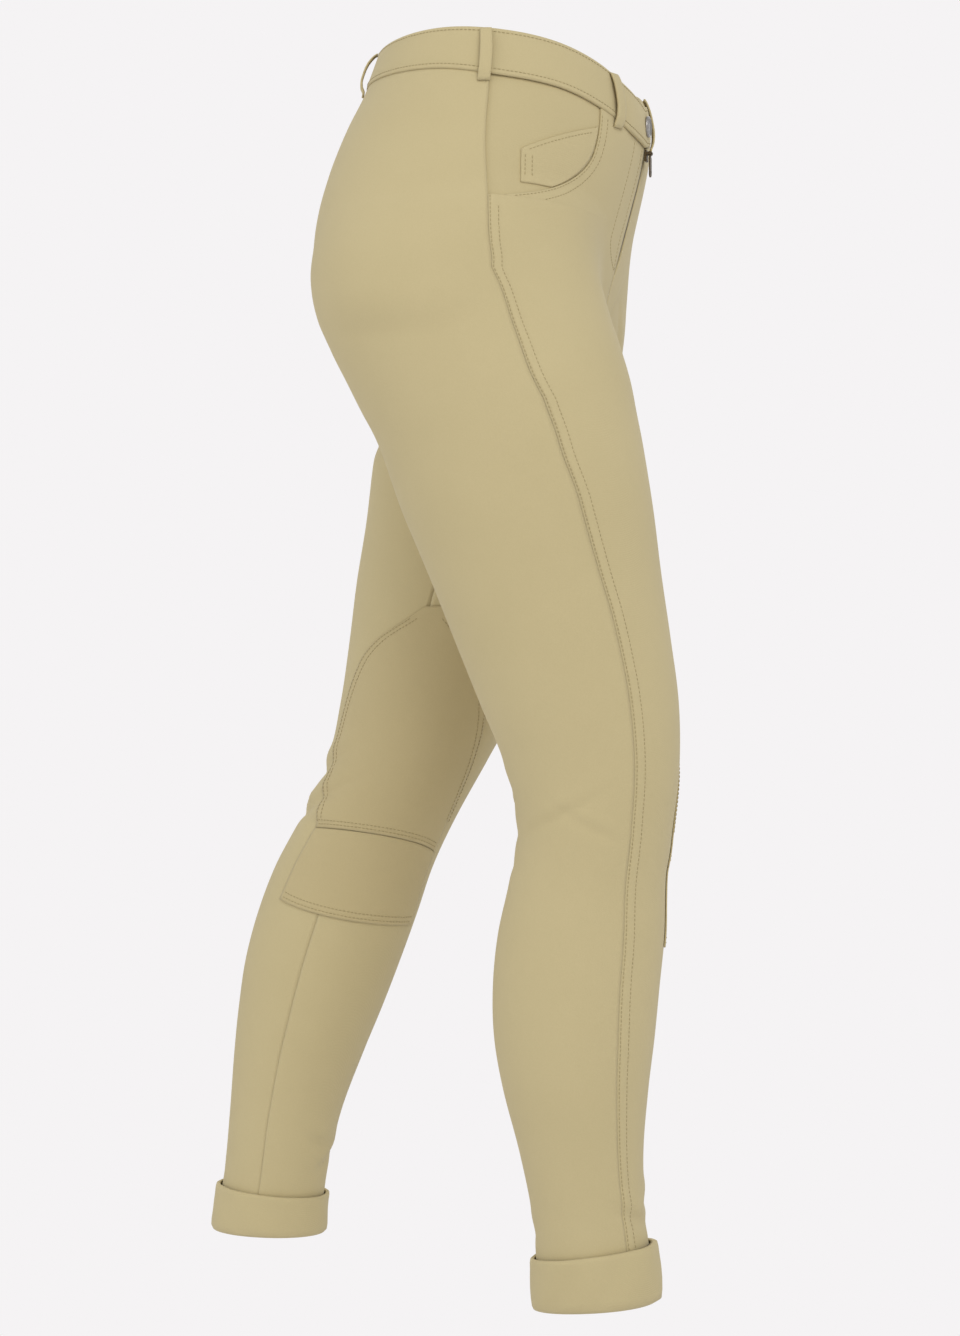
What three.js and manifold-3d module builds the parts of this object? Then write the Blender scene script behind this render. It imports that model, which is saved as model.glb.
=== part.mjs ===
// Riding jodhpurs in their worn form, walking, with nobody in them.
// Four fitted panels, a contoured waistband with its button, six belt loops, a fly with its zip, two
// scoop pockets, a coin pocket, a knee patch in two pieces on the inside of each leg, and turned-up cuffs.
// Millimetres, +Z up. The front faces -Y and the wearer's left is +X. The origin is the middle of the
// waist ring, half way up the waistband at the sides.
import * as THREE from 'three';
import { mergeVertices } from 'three/addons/utils/BufferGeometryUtils.js';
import Module from 'manifold-3d';

const wasm = await Module();
wasm.setup();

// ---- Driving sizes -----------------------------------------------------------------------------
const CLOTH = 1.5; // wall of a panel
const THIN = 1.2; // wall of a patch, facing or coin pocket
const GAP = 0.3; // between pieces that are sewn together or lie on each other
const PATCH_LIFT = 1.2; // between a leg and the knee patch on it
const BAND = { proud: 1.2, wall: 3, lap: 1.7, tabEnd: 15, underEnd: 24 };
const LOOP = { width: 12, wall: 1.5, below: 6.5 };
const FLY = { flap: 5, facing: 11, straightTo: -130, end: -168 };
const ZIP = { x: 8, top: -60, wall: 1.4, sink: 0.5 };
const SLIDER = { width: 7, height: 9, deep: 1.8, lug: 1.4, pin: 0.8, standOff: 4.6, lift: 0.5 };
const PULL = { eye: 1.9, hole: 1.15, width: 6, wall: 1.2, long: 19, tip: 2 };
const BUTTON = { head: 8.5, deep: 3.2, shank: 2, foot: 4.5, z: -40 };
const BUTTONHOLE = { width: 4.8, from: -14, to: 3 };
const SCOOP = { angle: 33, centreAngle: 66, centreZ: -72, drop: 42, hidden: 8 };

// ---- Sections ----------------------------------------------------------------------------------
// Ring of the hips: reach to the front and to the back, half width, and how square the oval is.
const HIPS = [
  { z: 60, front: 88, back: 84, half: 128, square: 2.0 },
  { z: 20, front: 98, back: 98, half: 132, square: 2.05 },
  { z: 0, front: 105, back: 105, half: 135, square: 2.1 },
  { z: -20, front: 110, back: 114, half: 139, square: 2.1 },
  { z: -40, front: 113, back: 124, half: 144, square: 2.15 },
  { z: -60, front: 112, back: 132, half: 149, square: 2.2 },
  { z: -80, front: 108, back: 139, half: 155, square: 2.2 },
  { z: -110, front: 100, back: 146, half: 162, square: 2.25 },
  { z: -140, front: 92, back: 148, half: 170, square: 2.3 },
  { z: -170, front: 85, back: 145, half: 175, square: 2.3 },
  { z: -200, front: 76, back: 131, half: 174, square: 2.3 },
  { z: -225, front: 60, back: 103, half: 150, square: 2.3 },
  { z: -245, front: 36, back: 62, half: 105, square: 2.2 },
  { z: -262, front: 8, back: 20, half: 60, square: 2.0 },
];
// Tube of the leg that steps forward: how far forward its front and back are, and how far from the
// middle plane its inner and outer sides are.
const RIGHT_LEG = [
  { z: -120, front: 84, back: -105, inner: 12, outer: 158 },
  { z: -160, front: 93, back: -126, inner: 8, outer: 170 },
  { z: -200, front: 104, back: -126, inner: 7, outer: 177 },
  { z: -225, front: 112, back: -116, inner: 7, outer: 178 },
  { z: -250, front: 120, back: -103, inner: 8, outer: 177 },
  { z: -275, front: 125, back: -90, inner: 10, outer: 175 },
  { z: -300, front: 130, back: -77, inner: 12, outer: 173 },
  { z: -350, front: 138, back: -59, inner: 14, outer: 169 },
  { z: -400, front: 144, back: -38, inner: 16, outer: 163 },
  { z: -450, front: 151, back: -18, inner: 18, outer: 157 },
  { z: -500, front: 157, back: 2, inner: 20, outer: 150 },
  { z: -550, front: 157, back: 22, inner: 23, outer: 142 },
  { z: -600, front: 151, back: 31, inner: 25, outer: 137 },
  { z: -640, front: 146, back: 24, inner: 26, outer: 134 },
  { z: -680, front: 145, back: 15, inner: 26, outer: 134 },
  { z: -720, front: 141, back: 11, inner: 25, outer: 135 },
  { z: -760, front: 137, back: 12, inner: 25, outer: 135 },
  { z: -800, front: 132, back: 19, inner: 27, outer: 132 },
  { z: -850, front: 128, back: 32, inner: 33, outer: 124 },
  { z: -900, front: 130, back: 42, inner: 38, outer: 118 },
  { z: -940, front: 135, back: 45, inner: 40, outer: 116 },
  { z: -980, front: 138, back: 46, inner: 41, outer: 115 },
];
// Tube of the leg that trails behind.
const LEFT_LEG = [
  { z: -120, front: 72, back: -118, inner: 12, outer: 158 },
  { z: -160, front: 74, back: -130, inner: 8, outer: 170 },
  { z: -200, front: 74, back: -132, inner: 7, outer: 177 },
  { z: -225, front: 71, back: -130, inner: 7, outer: 178 },
  { z: -250, front: 66, back: -129, inner: 8, outer: 177 },
  { z: -275, front: 60, back: -133, inner: 10, outer: 175 },
  { z: -300, front: 54, back: -138, inner: 12, outer: 173 },
  { z: -350, front: 38, back: -144, inner: 14, outer: 169 },
  { z: -400, front: 22, back: -152, inner: 16, outer: 163 },
  { z: -450, front: 6, back: -158, inner: 18, outer: 157 },
  { z: -500, front: -13, back: -165, inner: 20, outer: 150 },
  { z: -550, front: -40, back: -176, inner: 23, outer: 142 },
  { z: -600, front: -68, back: -200, inner: 25, outer: 137 },
  { z: -640, front: -87, back: -222, inner: 26, outer: 134 },
  { z: -680, front: -101, back: -238, inner: 26, outer: 134 },
  { z: -720, front: -116, back: -249, inner: 25, outer: 135 },
  { z: -760, front: -132, back: -255, inner: 25, outer: 135 },
  { z: -800, front: -149, back: -259, inner: 27, outer: 132 },
  { z: -850, front: -168, back: -263, inner: 33, outer: 124 },
  { z: -900, front: -180, back: -268, inner: 38, outer: 118 },
  { z: -940, front: -185, back: -275, inner: 40, outer: 116 },
  { z: -980, front: -188, back: -280, inner: 41, outer: 115 },
];
const LEG_SQUARE = 2.1;
const BLEND = 22; // how softly hips and legs run into each other
// Waistband: its top edge and its height, by the angle round the body from the front.
const WAIST = [
  { angle: 0, top: -25, height: 31 },
  { angle: 15, top: -15, height: 36 },
  { angle: 30, top: -2, height: 38 },
  { angle: 50, top: 10, height: 37 },
  { angle: 75, top: 17, height: 36 },
  { angle: 100, top: 20, height: 32 },
  { angle: 140, top: 18, height: 28 },
  { angle: 180, top: 18, height: 27 },
];
// Side seam: its place round the leg, 0 at the front middle or the inseam's front, 1 at the back.
const SIDE_SEAM = [
  { height: -20, place: 0.435 },
  { height: -60, place: 0.42 },
  { height: -110, place: 0.378 },
  { height: -150, place: 0.355 },
  { height: -185, place: 0.36 },
  { height: -215, place: 0.4 },
  { height: -255, place: 0.438 },
  { height: -305, place: 0.452 },
  { height: -350, place: 0.43 },
  { height: -425, place: 0.39 },
  { height: -600, place: 0.392 },
  { height: -720, place: 0.384 },
  { height: -850, place: 0.368 },
  { height: -980, place: 0.365 },
];
// Knee patch: its back and front edges, as places round the leg from the inseam.
const PATCH = [
  { height: -422, back: -0.006, front: 0.018 },
  { height: -435, back: -0.04, front: 0.045 },
  { height: -450, back: -0.085, front: 0.072 },
  { height: -468, back: -0.118, front: 0.1 },
  { height: -500, back: -0.143, front: 0.14 },
  { height: -540, back: -0.15, front: 0.18 },
  { height: -575, back: -0.128, front: 0.205 },
  { height: -606, back: -0.096, front: 0.222 },
  { height: -640, back: -0.096, front: 0.23 },
  { height: -680, back: -0.102, front: 0.24 },
];
const PATCH_SHOULDER = -450; // where the patch has spread to half its width
const PATCH_CROSS = -608; // seam between the patch's two pieces
const PATCH_HEM = -680; // lower end of the lower piece
// Cuffs: height of the fold at the bottom and of the top edge, and how these rise to the front.
const CUFF = {
  right: { bottom: -967, top: -925, rise: 0.1, rimRise: 0.16, bulge: 2.5 },
  left: { bottom: -953, top: -917, rise: -0.03, rimRise: -0.1, bulge: 0 },
};
// Section of a cuff, once round: how far up, and how far out from the leg.
const CUFF_SECTION = [
  { up: 1, out: 3.6 },
  { up: 0.8, out: 5.2 },
  { up: 0.45, out: 5.8 },
  { up: 0.15, out: 4.4 },
  { up: 0, out: 0.8 },
  { up: 0.015, out: -1.6 },
  { up: 0.07, out: -1.2 },
  { up: 0.09, out: 1.4 },
  { up: 0.45, out: 3.8 },
  { up: 1, out: 1.4 },
];
// Belt loops: angle round the body from the front, and how far the loop bows away from the band.
const LOOPS = [
  { name: 'front', angle: 24, bow: 2.6 },
  { name: 'side', angle: 80, bow: 2.6 },
  { name: 'back', angle: 155, bow: 5.6 },
];
// A belt loop from its top to its bottom: how far down, and how much of the bow it has there.
const LOOP_PATH = [
  { down: 0, bow: 0 },
  { down: 0.12, bow: 0.62 },
  { down: 0.34, bow: 1 },
  { down: 0.6, bow: 0.94 },
  { down: 0.8, bow: 0.5 },
  { down: 0.92, bow: 0.1 },
  { down: 1, bow: 0 },
];
// Heights at which the panels have a row of points.
const HIP_ROWS = [-20.8, -36, -52, -70, -88, -106, -126, -147, -170];
const FORK_ROWS = [-190, -210, -228, -244];
const LEG_ROWS = [
  -282, -306, -334, -366, -400, -434, -468, -500, -530, -558, -584, -608, -632, -656, -680, -706, -736, -769, -804,
  -838, -870, -900, -930,
];
const SCOOP_ROWS = [-61, -79, -96, -101, -110, -113];
const FRONT_COLUMNS = 9;
const BACK_COLUMNS = 13;
const COLUMNS = FRONT_COLUMNS + BACK_COLUMNS;

// ---- Materials ---------------------------------------------------------------------------------
const cotton = new THREE.MeshStandardMaterial({ color: 0xc6b88a, roughness: 0.95, metalness: 0 });
const patchCotton = new THREE.MeshStandardMaterial({ color: 0xc2b283, roughness: 0.95, metalness: 0 });
const metal = new THREE.MeshStandardMaterial({ color: 0x9a9896, roughness: 0.35, metalness: 1 });
const zipTape = new THREE.MeshStandardMaterial({ color: 0xa39a78, roughness: 0.7, metalness: 0.2 });

// ---- Tables and curves -------------------------------------------------------------------------
const ease = (t) => {
  const s = THREE.MathUtils.clamp(t, 0, 1);
  return s * s * (3 - 2 * s);
};

// A smooth curve through a table's rows, for every column but the one that it runs along.
function readTable(table, key, value) {
  const rising = table[0][key] < table[table.length - 1][key];
  const rows = rising ? table : [...table].reverse();
  const at = THREE.MathUtils.clamp(value, rows[0][key], rows[rows.length - 1][key]);
  let i = 0;
  while (i < rows.length - 2 && rows[i + 1][key] <= at) i += 1;
  const span = rows[i + 1][key] - rows[i][key];
  const s = (at - rows[i][key]) / span;
  const slope = (j, column) => {
    const low = Math.max(j - 1, 0);
    const high = Math.min(j + 1, rows.length - 1);
    return ((rows[high][column] - rows[low][column]) / (rows[high][key] - rows[low][key])) * span;
  };
  const out = {};
  for (const column of Object.keys(rows[0])) {
    if (column === key) continue;
    const start = (1 + 2 * s) * (1 - s) ** 2 * rows[i][column] + s * (1 - s) ** 2 * slope(i, column);
    const end = s * s * (3 - 2 * s) * rows[i + 1][column] + s * s * (s - 1) * slope(i + 1, column);
    out[column] = start + end;
  }
  return out;
}

const waistAt = (degrees) => {
  const turn = Math.abs(((degrees + 180) % 360) - 180);
  return readTable(WAIST, 'angle', turn);
};
const waistTop = (degrees) => waistAt(degrees).top;
const waistSeam = (degrees) => waistAt(degrees).top - waistAt(degrees).height;

// ---- The form under the cloth ------------------------------------------------------------------
// side is -1 for the wearer's right leg and 1 for the left.
function hipRing(z) {
  const row = readTable(HIPS, 'z', z);
  return { x: 0, y: (row.back - row.front) / 2, halfX: row.half, halfY: (row.front + row.back) / 2, square: row.square };
}

function legRing(side, z) {
  const row = readTable(side < 0 ? RIGHT_LEG : LEFT_LEG, 'z', z);
  return {
    x: (side * (row.inner + row.outer)) / 2,
    y: -(row.front + row.back) / 2,
    halfX: (row.outer - row.inner) / 2,
    halfY: (row.front - row.back) / 2,
    square: LEG_SQUARE,
  };
}

// How far outside an oval a point is, measured along the line from the oval's middle.
function outside(ring, x, y) {
  const across = Math.abs(x - ring.x) / ring.halfX;
  const along = Math.abs(y - ring.y) / ring.halfY;
  const scale = Math.max((across ** ring.square + along ** ring.square) ** (1 / ring.square), 1e-6);
  const reach = Math.hypot(x - ring.x, y - ring.y);
  return reach - reach / scale;
}

const soften = (a, b) => {
  const near = Math.max(BLEND - Math.abs(a - b), 0) / BLEND;
  return Math.min(a, b) - (near * near * BLEND) / 4;
};

// Below zero inside the form, above zero outside it.
function form(p) {
  const [lastHip] = HIPS.slice(-1);
  const [firstLeg] = RIGHT_LEG;
  const hips = outside(hipRing(p.z), p.x, p.y) + 2 * Math.max(lastHip.z - p.z, 0);
  const above = Math.max(p.z - firstLeg.z, 0);
  const right = outside(legRing(-1, p.z), p.x, p.y) + above;
  const left = outside(legRing(1, p.z), p.x, p.y) + above;
  return soften(soften(right, left), hips);
}

// The point where a line from inside the form leaves it.
function leave(from, direction, near, far) {
  const p = new THREE.Vector3();
  for (let step = 0; step < 30; step += 1) {
    const middle = (near + far) / 2;
    p.copy(from).addScaledVector(direction, middle);
    if (form(p) < 0) near = middle;
    else far = middle;
  }
  return p.copy(from).addScaledVector(direction, (near + far) / 2);
}

function outward(p) {
  const step = 2;
  const slope = (axis) => {
    const ahead = p.clone();
    const behind = p.clone();
    ahead[axis] += step;
    behind[axis] -= step;
    return form(ahead) - form(behind);
  };
  return new THREE.Vector3(slope('x'), slope('y'), slope('z')).normalize();
}

// The fork: the lowest place at which the form still crosses the middle plane.
function findFork() {
  const p = new THREE.Vector3();
  for (let z = -300; z < -220; z += 0.5) {
    for (let y = -40; y <= 50; y += 0.5) {
      if (form(p.set(0, y, z)) < 0) return p.clone();
    }
  }
  throw new Error('the legs do not meet');
}
const FORK = findFork();
const HIP_END = HIP_ROWS[HIP_ROWS.length - 1];
const HIP_TOP = -20;

// ---- Places on the cloth -----------------------------------------------------------------------
// place runs round the outer side, from 0 at the front to 1 at the back.
function hipPoint(side, place, z) {
  const ring = hipRing(z);
  const turn = Math.PI * place;
  const way = new THREE.Vector3(side * ring.halfX * Math.sin(turn), -ring.halfY * Math.cos(turn), 0);
  return leave(new THREE.Vector3(0, ring.y, z), way.normalize(), 0, 260);
}

// Direction of a place round the leg. Under the fork the inseam turns to look straight inwards.
function legTurn(side, place, z) {
  const ring = legRing(side, z);
  const settle = 150;
  const nearFork = ease((z - FORK.z + settle) / settle);
  const toFork = Math.atan2(-Math.abs(ring.x) / ring.halfX, -(FORK.y - ring.y) / ring.halfY);
  return toFork * nearFork - (Math.PI / 2) * (1 - nearFork) + 2 * Math.PI * place;
}

function legPoint(side, place, z) {
  const ring = legRing(side, z);
  const turn = legTurn(side, place, z);
  const way = new THREE.Vector3(side * ring.halfX * Math.sin(turn), -ring.halfY * Math.cos(turn), 0).normalize();
  const towardsMiddle = -side * way.x;
  const far = towardsMiddle > 0 ? Math.min(Math.abs(ring.x) / towardsMiddle, 260) : 260;
  return leave(new THREE.Vector3(ring.x, ring.y, z), way, 0, far);
}

// Between hips and leg the cloth is drawn from one ring to the other and out onto the form.
function forkPoint(side, place, share) {
  const start = hipPoint(side, place, HIP_END);
  const end = legPoint(side, place, FORK.z);
  const chord = start.lerp(end, share);
  const from = new THREE.Vector3(chord.x * 0.35, chord.y * 0.18 + 6, -185);
  return leave(from, chord.clone().sub(from), 0.3, 2.2);
}

// height is the level of a row at the outer side of the leg; the row itself may slope.
function clothPoint(side, place, height) {
  if (height >= HIP_END) {
    const share = (height - HIP_END) / (HIP_TOP - HIP_END);
    return hipPoint(side, place, HIP_END + share * (waistSeam(180 * place) - HIP_END));
  }
  if (height > FORK.z) return forkPoint(side, place, (HIP_END - height) / (HIP_END - FORK.z));
  const cuff = side < 0 ? CUFF.right : CUFF.left;
  const slopeStart = -840;
  const slope = cuff.rise * ease((slopeStart - height) / (slopeStart - cuff.bottom));
  const forward = legRing(side, height).halfY * Math.cos(legTurn(side, place, height));
  return legPoint(side, place, height + slope * forward);
}

const sideSeam = (height) => readTable(SIDE_SEAM, 'height', height).place;

// The right front laps over the fly; the left front stops short of the zip.
function frontEdge(side, height) {
  if (height < FLY.end) return 0;
  const open = ease((height - FLY.end) / (FLY.straightTo - FLY.end));
  const edge = side < 0 ? -FLY.flap : FLY.facing;
  return (open * edge) / (Math.PI * hipRing(height).halfX);
}

function placeOf(side, column, height) {
  const seam = sideSeam(height);
  if (column <= FRONT_COLUMNS) {
    return THREE.MathUtils.lerp(frontEdge(side, height), seam, column / FRONT_COLUMNS);
  }
  return THREE.MathUtils.lerp(seam, 1, (column - FRONT_COLUMNS) / BACK_COLUMNS);
}

// Inverse of placeOf on the leg, where a place before the inseam belongs to the back panel.
function columnOf(place, height) {
  const seam = sideSeam(height);
  if (place < 0) return (BACK_COLUMNS * place) / (1 - seam);
  return (FRONT_COLUMNS * place) / seam;
}

// Every piece is made from one lattice of points a side, so that pieces lie on each other exactly.
function makeLattice(side) {
  const cuff = side < 0 ? CUFF.right : CUFF.left;
  const end = cuff.bottom + 0.1 * (cuff.top - cuff.bottom);
  const heights = [...HIP_ROWS, ...FORK_ROWS, FORK.z, ...LEG_ROWS, end];
  const rows = heights.map((height) => {
    const row = [];
    for (let column = 0; column <= COLUMNS; column += 1) {
      const point = clothPoint(side, placeOf(side, column, height), height);
      const normal = outward(point);
      const onMiddle = (column === 0 || column === COLUMNS) && height >= FORK.z;
      if (onMiddle) normal.setX(0).normalize();
      row.push({ point, normal });
    }
    return row;
  });
  return { side, heights, rows };
}
const LATTICE = { right: makeLattice(-1), left: makeLattice(1) };

// A place on the lattice's triangles, raised from the cloth's face by offset.
function onCloth(lattice, column, height, offset) {
  const { heights, rows } = lattice;
  let i = 0;
  while (i < heights.length - 2 && heights[i + 1] >= height) i += 1;
  const down = THREE.MathUtils.clamp((heights[i] - height) / (heights[i] - heights[i + 1]), 0, 1);
  const wrapped = column < 0 ? column + COLUMNS : column;
  const j = Math.min(Math.floor(wrapped), COLUMNS - 1);
  const across = wrapped - j;
  const upperHalf = across + down <= 1;
  const mix = (part) => {
    const corner = upperHalf ? rows[i][j][part] : rows[i + 1][j + 1][part];
    const besides = upperHalf ? rows[i][j + 1][part] : rows[i + 1][j][part];
    const beyond = upperHalf ? rows[i + 1][j][part] : rows[i][j + 1][part];
    const sideways = upperHalf ? across : 1 - across;
    const lengthways = upperHalf ? down : 1 - down;
    const moved = corner.clone().multiplyScalar(1 - sideways - lengthways);
    return moved.addScaledVector(besides, sideways).addScaledVector(beyond, lengthways);
  };
  return mix('point').addScaledVector(mix('normal').normalize(), offset);
}

// ---- Solids ------------------------------------------------------------------------------------
function solidOf(vertices, triangles) {
  const geometry = new THREE.BufferGeometry();
  geometry.setAttribute('position', new THREE.Float32BufferAttribute(vertices.flatMap((v) => v.toArray()), 3));
  const volume = triangles.reduce((sum, [a, b, c]) => {
    return sum + vertices[a].dot(vertices[b].clone().cross(vertices[c]));
  }, 0);
  const facing = volume > 0 ? triangles : triangles.map(([a, b, c]) => [a, c, b]);
  geometry.setIndex(facing.flat());
  return geometry;
}

// A wall between an outer and an inner sheet that share one net of triangles.
function wallOf(outer, inner, net) {
  const count = outer.length;
  const triangles = [...net];
  for (const [a, b, c] of net) triangles.push([a + count, c + count, b + count]);
  const used = new Set(net.flatMap(([a, b, c]) => [`${a},${b}`, `${b},${c}`, `${c},${a}`]));
  for (const edge of used) {
    const [a, b] = edge.split(',').map(Number);
    if (used.has(`${b},${a}`)) continue;
    triangles.push([b, a, a + count], [b, a + count, b + count]);
  }
  return solidOf([...outer, ...inner], triangles);
}

// Triangles between two rows of points that need not have as many points as each other.
function stitchRows(upper, lower, net) {
  let i = 0;
  let j = 0;
  while (i < upper.length - 1 || j < lower.length - 1) {
    const canUpper = i < upper.length - 1;
    const canLower = j < lower.length - 1;
    const takeUpper = canUpper && (!canLower || upper[i + 1].column <= lower[j + 1].column);
    if (takeUpper) {
      net.push([upper[i].id, lower[j].id, upper[i + 1].id]);
      i += 1;
    } else {
      net.push([upper[i].id, lower[j].id, lower[j + 1].id]);
      j += 1;
    }
  }
}

// A piece of cloth on the lattice. Each row runs from one column to another.
function clothPiece(lattice, { heights, from, to, offset = 0, wall = CLOTH, trim = 1.2 * GAP }) {
  const outer = [];
  const inner = [];
  const net = [];
  let last = null;
  for (const height of heights) {
    const first = from(height);
    const end = to(height);
    const columns = [first];
    const room = 0.2;
    for (let c = Math.ceil(first + room); c < end - room; c += 1) columns.push(c);
    if (end - first > 0.01) columns.push(end);
    const points = columns.map((c) => onCloth(lattice, c, height, offset));
    const inside = columns.map((c) => onCloth(lattice, c, height, offset - wall));
    const n = columns.length - 1;
    for (const row of n > 0 ? [points, inside] : []) {
      const start = row[1].clone().sub(row[0]).setLength(trim);
      const finish = row[n - 1].clone().sub(row[n]).setLength(trim);
      row[0].add(start);
      row[n].add(finish);
    }
    const row = columns.map((column, k) => ({ column, id: outer.length + k }));
    outer.push(...points);
    inner.push(...inside);
    if (last) stitchRows(last, row, net);
    last = row;
  }
  return wallOf(outer, inner, net);
}

// A closed ring of sections, or an open run of them with flat ends.
function sweep(sections, closed) {
  const n = sections[0].length;
  const triangles = [];
  const spans = closed ? sections.length : sections.length - 1;
  for (let i = 0; i < spans; i += 1) {
    const next = (i + 1) % sections.length;
    for (let k = 0; k < n; k += 1) {
      const l = (k + 1) % n;
      triangles.push([i * n + k, i * n + l, next * n + l], [i * n + k, next * n + l, next * n + k]);
    }
  }
  if (!closed) {
    const lastStart = (sections.length - 1) * n;
    for (let k = 1; k < n - 1; k += 1) {
      triangles.push([0, k + 1, k], [lastStart, lastStart + k, lastStart + k + 1]);
    }
  }
  return solidOf(sections.flat(), triangles);
}

function toManifold(geometry) {
  const bare = geometry.clone();
  bare.deleteAttribute('normal');
  bare.deleteAttribute('uv');
  const merged = mergeVertices(bare, 1e-4);
  const mesh = { numProp: 3, vertProperties: new Float32Array(merged.attributes.position.array) };
  mesh.triVerts = new Uint32Array(merged.index.array);
  return new wasm.Manifold(new wasm.Mesh(mesh));
}

function toGeometry(manifold) {
  const mesh = manifold.getMesh();
  const geometry = new THREE.BufferGeometry();
  geometry.setAttribute('position', new THREE.BufferAttribute(new Float32Array(mesh.vertProperties), 3));
  geometry.setIndex(new THREE.BufferAttribute(new Uint32Array(mesh.triVerts), 1));
  return geometry;
}

const jodhpurs = new THREE.Group();
function add(name, geometry, material) {
  const mesh = new THREE.Mesh(geometry, material);
  mesh.name = name;
  jodhpurs.add(mesh);
  return mesh;
}

const SIDES = [
  { name: 'right', side: -1, lattice: LATTICE.right, cuff: CUFF.right },
  { name: 'left', side: 1, lattice: LATTICE.left, cuff: CUFF.left },
];

// ---- Front and back panels, with the scoop of the pocket cut out of the front -------------------
const rowZ = (degrees, height) => {
  const share = (height - HIP_END) / (HIP_TOP - HIP_END);
  return HIP_END + share * (waistSeam(degrees) - HIP_END);
};

// Column of the scoop's edge on a row; grow moves the edge out, under the front panel.
function scoopEdge(side, height, grow) {
  const growAngle = grow / 2.4;
  let degrees = SCOOP.angle - growAngle;
  for (let pass = 0; pass < 8; pass += 1) {
    const below = SCOOP.centreZ - rowZ(degrees, height);
    const drop = SCOOP.drop + grow;
    const share = THREE.MathUtils.clamp(below / drop, 0, 1);
    const width = SCOOP.centreAngle - SCOOP.angle + growAngle;
    degrees = SCOOP.centreAngle - width * Math.sqrt(1 - share * share);
    if (below > drop) return FRONT_COLUMNS;
  }
  const start = frontEdge(side, height);
  return Math.min((FRONT_COLUMNS * (degrees / 180 - start)) / (sideSeam(height) - start), FRONT_COLUMNS);
}

for (const { name, side, lattice } of SIDES) {
  const scoopEnd = SCOOP_ROWS[SCOOP_ROWS.length - 1];
  const heights = [...new Set([...lattice.heights, ...SCOOP_ROWS])].sort((a, b) => b - a);
  const front = clothPiece(lattice, {
    heights,
    from: () => 0,
    to: (height) => (height > scoopEnd ? scoopEdge(side, height, 0) : FRONT_COLUMNS),
  });
  add(`front_${name}`, front, cotton);
  const back = clothPiece(lattice, {
    heights: lattice.heights,
    from: () => FRONT_COLUMNS,
    to: () => COLUMNS,
  });
  add(`back_${name}`, back, cotton);
}

// ---- Pocket facings, which fill the scoops from behind, and the coin pocket ----------------------
const FACING_DEPTH = CLOTH + 2.2;
const FACING_ROWS = [-20.8, -36, -52, -70, -88, -100, -106, -113, -121];
for (const { name, side, lattice } of SIDES) {
  const facing = clothPiece(lattice, {
    heights: FACING_ROWS,
    from: (height) => Math.min(scoopEdge(side, height, SCOOP.hidden), FRONT_COLUMNS - 1.5),
    to: () => FRONT_COLUMNS - 0.05,
    offset: -FACING_DEPTH,
    wall: THIN,
    trim: 0,
  });
  add(`pocket_facing_${name}`, facing, cotton);
}

// The coin pocket hangs below a sloping top edge and runs into the pocket's opening.
const COIN = { topFront: -46, topBack: -70, backColumn: 7.2, lean: 0.018 };
const coinPocket = clothPiece(LATTICE.right, {
  heights: [COIN.topFront, -52, -60, COIN.topBack, -79, -88, -96],
  from: (height) => scoopEdge(-1, height, 0) + 0.12,
  to: (height) => {
    const slope = (COIN.topFront - height) / (COIN.topFront - COIN.topBack);
    const opening = scoopEdge(-1, height, 0) + 0.12;
    const leaning = COIN.backColumn + COIN.lean * Math.min(height - COIN.topBack, 0);
    return THREE.MathUtils.lerp(opening, leaning, Math.min(slope, 1));
  },
  offset: -1,
  wall: THIN,
  trim: 0,
});
add('coin_pocket', coinPocket, cotton);

// ---- Knee patches on the inside of the legs -------------------------------------------------------
const patchEdge = (edge, height) => columnOf(readTable(PATCH, 'height', height)[edge], height);

for (const { name, lattice } of SIDES) {
  const levels = [...lattice.heights, PATCH_SHOULDER].sort((a, b) => b - a);
  const piece = (top, bottom) => clothPiece(lattice, {
    heights: [top, ...levels.filter((h) => h < top - 1 && h > bottom + 1), bottom],
    from: (height) => patchEdge('back', height),
    to: (height) => patchEdge('front', height),
    offset: PATCH_LIFT + THIN,
    wall: THIN,
    trim: 0,
  });
  add(`knee_patch_upper_${name}`, piece(PATCH[0].height, PATCH_CROSS), patchCotton);
  add(`knee_patch_lower_${name}`, piece(PATCH_CROSS - GAP, PATCH_HEM), patchCotton);
}

// ---- Cuffs, turned up over the ends of the legs ----------------------------------------------------
for (const { name, side, cuff } of SIDES) {
  const rings = [];
  for (let column = 0; column < COLUMNS; column += 1) {
    const place = column / COLUMNS;
    const section = CUFF_SECTION.map(({ up, out }) => {
      const level = cuff.bottom + up * (cuff.top - cuff.bottom);
      const slope = cuff.rise + up * (cuff.rimRise - cuff.rise);
      const turn = legTurn(side, place, level);
      const forward = legRing(side, level).halfY * Math.cos(turn);
      const point = legPoint(side, place, level + slope * forward);
      const normal = outward(point).setZ(0).normalize();
      const frontBulge = out > 3 ? cuff.bulge * Math.max(Math.cos(turn), 0) ** 2 : 0;
      return point.addScaledVector(normal, out + frontBulge);
    });
    rings.push(section);
  }
  add(`cuff_${name}`, sweep(rings, true), cotton);
}

// ---- Waistband, right end over left end, with its buttonhole ---------------------------------------
// A point on the body's ring at an angle from the front, through the wearer's right side.
function bandPoint(degrees, z, offset) {
  const turn = THREE.MathUtils.degToRad(degrees);
  const ring = hipRing(z);
  const way = new THREE.Vector3(-ring.halfX * Math.sin(turn), -ring.halfY * Math.cos(turn), 0).normalize();
  const point = leave(new THREE.Vector3(0, ring.y, z), way, 0, 260);
  return point.addScaledVector(outward(point).setZ(0).normalize(), offset);
}

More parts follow.
